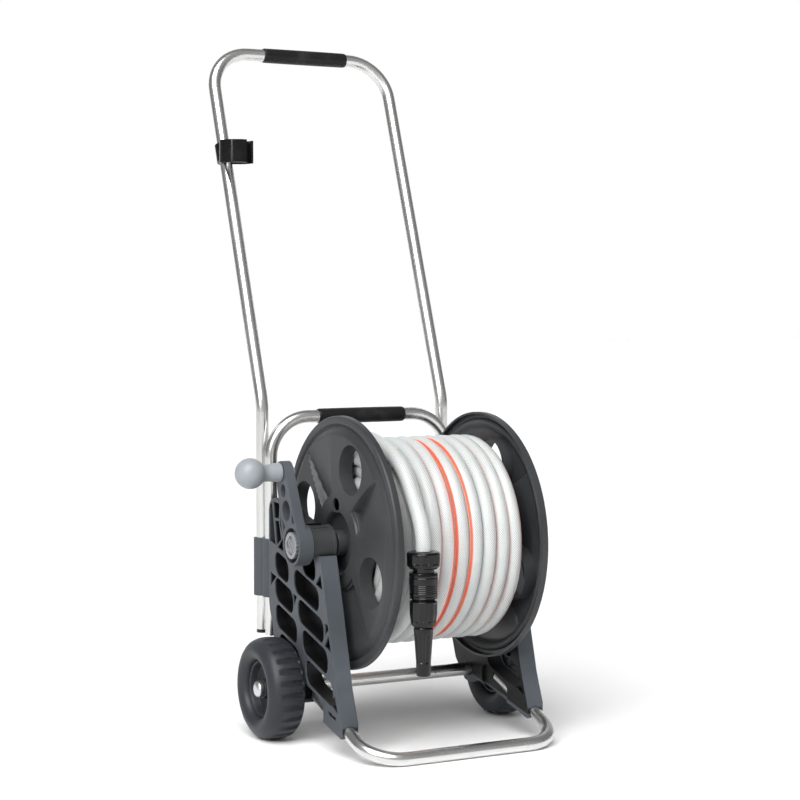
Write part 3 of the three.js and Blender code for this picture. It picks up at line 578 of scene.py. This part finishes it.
def flange_grid():
    """Height above the polar grid: the rounded profile less the valleys, on the flat ring only."""
    profile = rounded(SKIN_PROFILE, [0, 2, 2.5, 2.5, 1, 1, 0.8, 1, 0.8, 0], 4)
    along = length_along(profile)
    marks = np.linspace(0, along[-1], SKIN_ROWS)
    x, r = (np.interp(marks, along, profile[:, k])[:, None] for k in (0, 1))
    deg = (np.arange(SKIN_COLUMNS) / SKIN_COLUMNS * 360)[None]
    height = x - valley_depth(r, deg) * ((r > 40) & (r < 126))
    y, z = r * np.cos(np.radians(deg)), r * np.sin(np.radians(deg))
    grid = np.stack([np.broadcast_to(height, y.shape), y, z], -1)
    return open_holes(grid)


def open_holes(grid):
    """Points inside a hole move straight out to its edge: c + R (p - c) / |p - c|."""
    for y, z, radius in HOLES:
        offset = grid[..., 1:] - (y, z)
        reach = np.linalg.norm(offset, axis=-1, keepdims=True)
        edge = (y, z) + offset / np.maximum(reach, 1e-9) * radius
        grid[..., 1:] = np.where(reach < radius, edge, grid[..., 1:])
    return grid


def outside_holes(corners):
    """Keeps a face unless all of its corners sit on one hole's edge."""
    local = (corners - AXLE) / MM
    kept = np.ones(len(corners), bool)
    for y, z, radius in HOLES:
        reach = np.hypot(local[..., 1] - y, local[..., 2] - z)
        kept &= ~(reach < radius + 0.01).all(axis=1)
    return kept


# %% [markdown]
# The window tubes, the hub with its hollow shaft, and the spigot that carries the drum are plain
# turned shapes. They make one more piece, which stands for the same flange as the skin does.

# %% Flange pieces
def flange_extras(side):
    """Window tubes, hub, shaft and drum spigot of one flange, as closed turned grids."""
    hub = [[FACE - 8.5, 5], [FACE - 8.5, 14], [99, 14], [99, 8.5], [141, 8.5], [141, 5]]
    spigot = [[FACE - 17.7, 51.5], [FACE - 17.7, 55], [FACE - 2, 55], [FACE - 2, 51.5]]
    flare = [[FACE, 28.9], [FACE - 0.8, 27.5], [FACE - 16, 27.4], [FACE - 16, 29.5], [FACE - 1.4, 29.8],
             [FACE - 0.4, 29.6]]
    grids = []
    for y, z in WINDOWS:
        grids.append((turned(mirrored(flare, side), at_axle(0, y, z), "x", 80), True, True, None))
    for profile, sides in ((hub, 64), (spigot, 96)):
        soft = rounded(profile, 0.8, 3, closed=True)
        grids.append((turned(mirrored(soft, side), at_axle(0, 0, 0), "x", sides), True, True, None))
    return grids


def flange(side, word):
    """The skin with a wall grown inwards from it, and the turned parts as a second piece."""
    grid = flange_grid() * MM
    grid[..., 0] *= side
    skin = surface(f"flange_skin_{word}", [(grid + AXLE, False, True, None)], "reel", "reel_plastic",
                   (f"reel_flange_{word}",), keep=outside_holes, smooth_deg=40)
    wall = skin.modifiers.new("wall", "SOLIDIFY")
    wall.thickness = SKIN_WALL * MM
    wall.offset = -1
    middle = skin.data.polygons[len(skin.data.polygons) // 2]
    if middle.normal.x * side < 0:
        skin.data.flip_normals()
    surface(f"flange_core_{word}", flange_extras(side), "reel", "reel_plastic", (f"reel_flange_{word}",))
    print(f"flange {word}:", len(skin.data.polygons), "faces")


flange(-1, "left")
flange(1, "right")

# %% [markdown]
# ## Moulded parts kept from the CAD
# The side frames, blocks, collars and crank have the right shape already, but their edges are
# perfectly sharp. A copy of each has its loose triangles merged and its flat faces joined, and
# a narrow Bevel modifier rounds the edges as a mould does.

# %% Bevelled copies
def softened(node, body, slot, width):
    """A piece that stands for one CAD node, with its edges rounded by width millimetres."""
    mesh = frame["nodes"][node].data.copy()
    work = bmesh.new()
    work.from_mesh(mesh)
    bmesh.ops.remove_doubles(work, verts=work.verts, dist=1e-5)
    bmesh.ops.dissolve_limit(work, angle_limit=math.radians(1), verts=work.verts, edges=work.edges)
    work.to_mesh(mesh)
    work.free()
    mesh.materials.clear()
    piece = finish_piece(f"{node}_soft", mesh, body, slot, (node,), 32, outward=False)
    bevel = piece.modifiers.new("soft edges", "BEVEL")
    bevel.width = width * MM
    bevel.segments = 2
    bevel.limit_method = "ANGLE"
    bevel.angle_limit = math.radians(38)
    return piece


slot_of = {row["node"]: row["material_slot"] for row in frame["record"]["subparts"]}
body_of = {node: body for body, nodes in frame["record"]["behaviour"]["bodies"].items() for node in nodes}
SOFTENED = ["side_frame_left", "side_frame_right", "bearing_block_left", "bearing_block_right",
            "guide_collar_left", "guide_collar_right", "crank_arm", "crank_cap", "nozzle_clip"]
THIN_WALLED = ("crank_cap", "nozzle_clip")
for node in SOFTENED:
    softened(node, body_of[node], slot_of[node], 0.3 if node in THIN_WALLED else 0.5)
print("softened", len(SOFTENED), "moulded parts")

# %% [markdown]
# The crank's knob is a ball on a tapered neck that turns on its pin: one turned profile.

# %% Crank knob
KNOB_Y, KNOB_Z, BALL_X, BALL_R = 29, 78, -186, 17


def knob_profile():
    """Bore, end face and tapered neck, then the ball from 38 to 180 degrees about its centre."""
    t = np.radians(np.linspace(38, 180, 40))
    ball = np.stack([BALL_X + BALL_R * np.cos(t), BALL_R * np.sin(t)], 1)
    ball[-1] = (BALL_X - BALL_R, 0)
    neck = rounded([[-192, 0], [-192, 4.35], [-150.5, 4.35], [-150.5, 10.4], [-153, 10.6], [-166, 9.4],
                    [-172.6, 10.47]], 1.0, 4)
    return np.concatenate([neck[:-1], ball])


knob = surface("knob", [(turned(knob_profile(), at_axle(0, KNOB_Y, KNOB_Z), "x", 96), False, True, None)],
               "knob", "knob_plastic", ("crank_knob",), smooth_deg=50)
print("knob", len(knob.data.polygons), "faces")

# %% [markdown]
# ## Finishes
# Shader maths is easier to read as Python. Value wraps a number socket, so that a * b + c adds
# the Math nodes; Finish makes one material and has one method for every other node.

# %% Writing shader maths as expressions
class Value:
    """A number socket. Its operators add Math nodes and return their outputs."""

    def __init__(self, finish, socket):
        self.finish, self.socket = finish, socket

    def math(self, operation, *others):
        return self.finish.node("ShaderNodeMath", {"operation": operation},
                                dict(enumerate((self, *others))))

    def __add__(self, other):
        return self.math("ADD", other)

    def __sub__(self, other):
        return self.math("SUBTRACT", other)

    def __rsub__(self, other):
        return self.finish.number("SUBTRACT", other, self)

    def __mul__(self, other):
        return self.math("MULTIPLY", other)

    def __abs__(self):
        return self.math("ABSOLUTE")

    __radd__, __rmul__ = __add__, __mul__

    def sin(self):
        return self.math("SINE")

    def fraction(self):
        return self.math("FRACT")

    def highest(self, other):
        return self.math("MAXIMUM", other)

    def power(self, other):
        return self.math("POWER", other)

    def ramp(self, low, high):
        """0 below low, 1 above high, smooth between them."""
        return self.finish.node("ShaderNodeMapRange", {"interpolation_type": "SMOOTHSTEP", "clamp": True},
                                {"Value": self, "From Min": low, "From Max": high})


class Finish:
    """One material with its Principled shader."""

    def __init__(self, name, **constants):
        self.material = bpy.data.materials.new(name)
        self.material.use_nodes = True
        self.tree = self.material.node_tree
        self.tree.nodes.clear()
        self.shader = self.tree.nodes.new("ShaderNodeBsdfPrincipled")
        output = self.tree.nodes.new("ShaderNodeOutputMaterial")
        self.tree.links.new(self.shader.outputs[0], output.inputs[0])
        for socket, value in constants.items():
            self.shader.inputs[socket.replace("_", " ")].default_value = value
        place = self.tree.nodes.new("ShaderNodeTexCoord")
        self.at = place.outputs["Object"]
        self.uv = place.outputs["UV"]

    def node(self, kind, settings=None, inputs=None, output=0):
        node = self.tree.nodes.new(kind)
        for key, value in (settings or {}).items():
            setattr(node, key, value)
        for key, value in (inputs or {}).items():
            self.feed(node.inputs[key], value)
        return Value(self, node.outputs[output])

    def feed(self, socket, value):
        if isinstance(value, Value):
            value = value.socket
        if isinstance(value, bpy.types.NodeSocket):
            self.tree.links.new(value, socket)
        elif hasattr(value, "__len__") and len(value) == 3 and len(socket.default_value) == 4:
            socket.default_value = (*value, 1)
        else:
            socket.default_value = value

    def number(self, operation, first, second):
        return self.node("ShaderNodeMath", {"operation": operation}, {0: first, 1: second})

    def axes(self, vector=None):
        """X, Y and Z of a vector as three values."""
        split = self.node("ShaderNodeSeparateXYZ", None, {0: vector or self.at})
        return [Value(self, socket) for socket in split.socket.node.outputs]

    def noise(self, scale, detail=3, vector=None, roughness=0.5):
        return self.node("ShaderNodeTexNoise", None, {"Vector": vector or self.at, "Scale": scale,
                         "Detail": detail, "Roughness": roughness})

    def stretched(self, scale, vector=None):
        """The coordinates multiplied by three numbers, for streaks."""
        return self.node("ShaderNodeMapping", None, {"Vector": vector or self.at, "Scale": scale}).socket

    def mix(self, share, first, second):
        return self.node("ShaderNodeMix", {"data_type": "RGBA"}, {0: share, 6: first, 7: second}, output=2)

    def bump(self, height, strength, distance):
        self.set(Normal=self.node("ShaderNodeBump", None, {"Height": height, "Strength": strength,
                                  "Distance": distance}))

    def set(self, **inputs):
        for name, value in inputs.items():
            self.feed(self.shader.inputs[name.replace("_", " ")], value)


# %% [markdown]
# **Moulded plastic.** The frames, reel and wheels are injection or blow moulded. Their grain is
# a fine, even pebble; the colour drifts a little where the melt flowed, and scuffed patches are a
# little paler and rougher.

# %% Moulded plastic
def moulded(name, colour, roughness, grain_scale=1100, grain=0.25, drift=0.18, rub=0.35):
    """Colour between 1 - drift and 1 + drift of the given one by slow noise, then towards 1.5 of it
    where a finer noise passes a threshold; the bump is the finest noise."""
    finish = Finish(name, Specular_IOR_Level=0.36)
    pebble = finish.noise(grain_scale, 2)
    flow = finish.noise(9, 4)
    scuff = finish.noise(70, 5, roughness=0.7).ramp(0.56, 0.72)
    darker, lighter = [c * (1 - drift) for c in colour], [c * (1 + drift) + 0.002 for c in colour]
    base = finish.mix(flow.ramp(0.3, 0.7), darker, lighter)
    base = finish.mix(scuff * rub * 0.3, base, [c * 1.5 + 0.01 for c in colour])
    finish.set(Base_Color=base, Roughness=roughness + (pebble - 0.5) * 0.12 + scuff * 0.08)
    finish.bump(pebble + scuff * 0.2, grain, 0.0002)
    return finish


# %% [markdown]
# ** Side frames.** The same plastic as the rest, but the deep cells between their ribs trap so
# much light that they read as black, and that shade is painted into the colour. A mask keeps the
# plates' outer face and rim at full colour and paints near-black shade on what lies below the outer
# face and inside the outline, the face next to the reel included.

# %% Side frames
OUTER_FACE = 0.1252, 0.1238            # metres from the middle, where the mask starts and is full
FRONT_LEAN, FRONT_AT, TOE_Z, TOE_LEAN = 0.29, 0.0188, -0.150, 0.07
REAR_AT, UNDERSIDE_LEAN, UNDERSIDE_AT = 0.1135, 0.2, 0.1835


def frame_plastic():
    """The painted shade mask is the product of four ramps: below the face, behind the front edge,
    before the rear edge and above the underside. Each edge is a line, place + lean times distance.
    Where the mask is full, near-black shade is painted over the plastic's colour."""
    finish = moulded("frame plastic", (0.062, 0.071, 0.082), 0.5)
    x, y, z = finish.axes()
    depth = abs(x - float(AXLE[0])).ramp(*OUTER_FACE)
    local_y, local_z = y - float(AXLE[1]), z - float(AXLE[2])
    front = local_z * FRONT_LEAN - FRONT_AT - (TOE_Z - local_z).highest(0.0) * TOE_LEAN
    inside = (local_y - front).ramp(0.0012, 0.0026)
    inside = inside * (REAR_AT - local_y).ramp(0.0008, 0.0022)
    inside = inside * (local_z - local_y * UNDERSIDE_LEAN + UNDERSIDE_AT).ramp(0.0015, 0.003)
    # painted shade: 1 in the cells and on the face next to the reel, 0 on the outer face and rim
    painted_shade = depth * inside
    colour = finish.shader.inputs["Base Color"].links[0].from_socket
    # the near-black colour is painted shade, not a darker plastic
    finish.set(Base_Color=finish.mix(painted_shade, Value(finish, colour), (0.002, 0.002, 0.0025)))
    return finish


# %% [markdown]
# **Aluminium tube.** Drawn through a die and lightly polished, so it carries fine scratches along
# its length. The tube's own map runs along it in metres, so noise stretched along the map gives
# streaks that follow every bend.

# %% Drawn aluminium
def tube_aluminium():
    """Noise stretched along the tube mixes two greys and roughens it; slow noise dulls patches."""
    finish = Finish("drawn aluminium", Metallic=1.0, Specular_IOR_Level=0.5)
    streaks = finish.noise(1, 4, finish.stretched((60, 9, 1), finish.uv), 0.6)
    fine = finish.noise(1, 3, finish.stretched((260, 30, 1), finish.uv))
    dull = finish.noise(14, 4).ramp(0.4, 0.75)
    base = finish.mix(streaks.ramp(0.3, 0.7), (0.66, 0.66, 0.655), (0.79, 0.79, 0.78))
    finish.set(Base_Color=finish.mix(dull * 0.35, base, (0.6, 0.6, 0.6)),
               Roughness=0.17 + streaks * 0.12 + dull * 0.1)
    finish.bump(streaks * 0.6 + fine * 0.4, 0.1, 0.0001)
    return finish


# %% [markdown]
# **Hose.** A clear vinyl skin over a white braid, with an orange stripe under the skin. The
# braid is two families of threads that cross, and each is a sine of the map's two coordinates.

# %% Braided hose
THREADS = 20
THREAD_PITCH = 0.0026


def hose_vinyl():
    """Thread is the higher of |sin(a + b)|^3 and |sin(a - b)|^3, with a round the hose and b along
    it; the stripe is where the map's first coordinate is within 0.03 of a whole number."""
    finish = Finish("braided hose", Coat_Weight=0.35, Coat_Roughness=0.18, Specular_IOR_Level=0.5,
                    Subsurface_Weight=0.12, Subsurface_Scale=0.004)
    around, along, _ = finish.axes(finish.uv)
    one = (around * (THREADS * math.pi) + along * (math.pi / THREAD_PITCH)).sin()
    two = (around * (THREADS * math.pi) - along * (math.pi / THREAD_PITCH)).sin()
    thread = abs(one).power(3.0).highest(abs(two).power(3.0))
    off_stripe = abs((around + 0.5).fraction() - 0.5)
    glow = 1 - off_stripe.ramp(0.02, 0.085)
    stripe = 1 - off_stripe.ramp(0.026, 0.034)
    cloudy = finish.noise(30, 3).ramp(0.35, 0.7)
    skin = finish.mix(thread, (0.27, 0.3, 0.3), (0.66, 0.67, 0.66))
    skin = finish.mix(cloudy * 0.3, skin, (0.6, 0.63, 0.62))
    skin = finish.mix(glow * 0.22, skin, (0.85, 0.5, 0.42))
    finish.set(Base_Color=finish.mix(stripe * 0.92, skin, (0.86, 0.1, 0.025)),
               Roughness=0.36 + thread * 0.1 + cloudy * 0.06)
    finish.bump(thread, 0.5, 0.0003)
    return finish


# %% [markdown]
# **Glossy black plastic, rubber sleeve, steel.** Small parts differ mostly in how rough they are:
# the connector is polished, the sleeve is satin with fine lines along it, the steel is brushed.

# %% Small parts
def black_gloss():
    """Near black, with slow noise for haze and stretched noise for scratches in the roughness."""
    finish = Finish("glossy black plastic", Coat_Weight=0.1, Coat_Roughness=0.06,
                    Specular_IOR_Level=0.33)
    haze = finish.noise(45, 4).ramp(0.35, 0.75)
    scratch = finish.noise(1, 3, finish.stretched((900, 900, 90))).ramp(0.6, 0.75)
    finish.set(Base_Color=finish.mix(haze, (0.003, 0.003, 0.0035), (0.007, 0.0072, 0.008)),
               Roughness=0.1 + haze * 0.1 + scratch * 0.1)
    finish.bump(haze + scratch * 0.3, 0.08, 0.0002)
    return finish


def grip_rubber():
    """Ninety fine lines along the sleeve from a sine of the map's first coordinate."""
    finish = Finish("grip sleeve", Specular_IOR_Level=0.25)
    around, _, _ = finish.axes(finish.uv)
    lines = (around * (90 * TURN)).sin()
    wear = finish.noise(40, 4).ramp(0.5, 0.75)
    finish.set(Base_Color=finish.mix(wear, (0.008, 0.008, 0.009), (0.02, 0.02, 0.022)),
               Roughness=0.42 + wear * 0.15)
    finish.bump(lines * 0.5 + finish.noise(1500, 2), 0.12, 0.0002)
    return finish


def brushed(name, colour, roughness, stretch):
    """Metal whose roughness and bump follow one fine noise, and whose colour follows a stain."""
    finish = Finish(name, Metallic=1.0)
    lines = finish.noise(1, 4, finish.stretched(stretch))
    stain = finish.noise(60, 3).ramp(0.45, 0.7)
    finish.set(Base_Color=finish.mix(stain * 0.4, colour, [c * 0.75 for c in colour]),
               Roughness=roughness + lines * 0.15 + stain * 0.08)
    finish.bump(lines, 0.15, 0.0001)
    return finish


def silver_cap():
    """Half-metallic plastic, with very fine noise as flecks between two greys."""
    finish = Finish("silver cap plastic", Metallic=0.55, Specular_IOR_Level=0.5)
    fleck = finish.noise(2500, 2)
    soft = finish.noise(50, 3).ramp(0.4, 0.7)
    finish.set(Base_Color=finish.mix(fleck, (0.2, 0.21, 0.22), (0.34, 0.35, 0.37)),
               Roughness=0.3 + soft * 0.12)
    finish.bump(fleck, 0.08, 0.0001)
    return finish


FINISHES = {
    "frame_plastic": frame_plastic(),
    "reel_plastic": moulded("reel plastic", (0.034, 0.0365, 0.039), 0.42),
    "wheel_plastic": moulded("wheel plastic", (0.022, 0.025, 0.03), 0.45, 900, 0.3),
    "knob_plastic": moulded("knob plastic", (0.27, 0.29, 0.31), 0.3, 1300, 0.1, 0.06, 0.2),
    "tube_aluminium": tube_aluminium(),
    "hose_vinyl": hose_vinyl(),
    "black_gloss": black_gloss(),
    "grip_rubber": grip_rubber(),
    "steel": brushed("zinc plated steel", (0.66, 0.66, 0.67), 0.28, (400, 400, 400)),
    "cap_plastic": silver_cap(),
    "seal_rubber": moulded("seal rubber", (0.012, 0.012, 0.012), 0.6, 1800, 0.1),
}
print("finishes", sorted(FINISHES))

# %% Give every piece and every CAD node its finish
for piece, slot_name in pieces.values():
    piece.data.materials.clear()
    piece.data.materials.append(FINISHES[slot_name].material)
for node, obj in frame["nodes"].items():
    material = FINISHES[slot_of[node]].material
    if not obj.material_slots:
        obj.data.materials.append(material)
    for place in obj.material_slots:
        place.material = material
print("finished", len(pieces), "pieces and", len(frame["nodes"]), "CAD nodes")

# %% [markdown]
# ## Floor and light
# A large pale floor, one broad light from high on the front left, a small lamp that puts a
# highlight on the tubes, and a studio that is brightest behind the cart, so that the polished
# tubes have something to reflect.

# %% Floor, studio and lights
FLOOR_HALF = 20
BACKDROP_WAY = (0.465, 0.885, 0)       # the level direction from the camera to the cart
STUDIO_STOPS = [(0, 0.42), (0.3, 0.36), (0.5, 0.2), (0.8, 0.22), (0.93, 0.8), (0.97, 1.0)]


def plain_floor():
    """One square of matt paper at the height of the ground."""
    corners = [(x * FLOOR_HALF, y * FLOOR_HALF, 0) for x, y in ((-1, -1), (1, -1), (1, 1), (-1, 1))]
    mesh = bpy.data.meshes.new("floor")
    mesh.from_pydata(corners, [], [(0, 1, 2, 3)])
    floor = bpy.data.objects.new("floor", mesh)
    bpy.context.scene.collection.objects.link(floor)
    paper = Finish("paper", Roughness=0.9, Specular_IOR_Level=0.1)
    paper.set(Base_Color=paper.mix(paper.noise(3, 2), (0.9, 0.9, 0.9), (0.93, 0.93, 0.93)))
    mesh.materials.append(paper.material)


def studio_world():
    """Brightness is a ramp of 0.5 + half the dot product of a direction with BACKDROP_WAY."""
    world = bpy.data.worlds.new("studio")
    bpy.context.scene.world = world
    world.use_nodes = True
    tree = world.node_tree
    direction = tree.nodes.new("ShaderNodeTexCoord").outputs["Generated"]
    towards = tree.nodes.new("ShaderNodeVectorMath")
    towards.operation = "DOT_PRODUCT"
    towards.inputs[1].default_value = [part / 2 for part in BACKDROP_WAY]
    shifted = tree.nodes.new("ShaderNodeMath")
    shifted.inputs[1].default_value = 0.5
    ramp = tree.nodes.new("ShaderNodeValToRGB")
    stops = ramp.color_ramp.elements
    while len(stops) < len(STUDIO_STOPS):
        stops.new(0.5)
    for stop, (place, grey) in zip(stops, STUDIO_STOPS):
        stop.position, stop.color = place, (grey, grey, grey, 1)
    tree.links.new(direction, towards.inputs[0])
    tree.links.new(towards.outputs["Value"], shifted.inputs[0])
    tree.links.new(shifted.outputs[0], ramp.inputs[0])
    tree.links.new(ramp.outputs[0], tree.nodes["Background"].inputs["Color"])


def lamp(name, kind, energy, towards, place=(0, 0, 3), **settings):
    """A light at a place, turned so that its beam points along towards."""
    data = bpy.data.lights.new(name, kind)
    data.energy = energy
    for key, value in settings.items():
        setattr(data, key, value)
    light = bpy.data.objects.new(name, data)
    bpy.context.scene.collection.objects.link(light)
    light.location = place
    light.rotation_euler = Vector(towards).to_track_quat("-Z", "Y").to_euler()


plain_floor()
studio_world()
lamp("broad light", "SUN", 3.5, (0.42, 0.48, -0.8), angle=math.radians(50))
lamp("tube highlight", "AREA", 14, (1.9, 1.0, -0.7), (-1.9, -1.2, 1.2), shape="DISK", size=0.7)
bpy.context.scene.view_settings.view_transform = "Standard"
print("floor and two lamps")
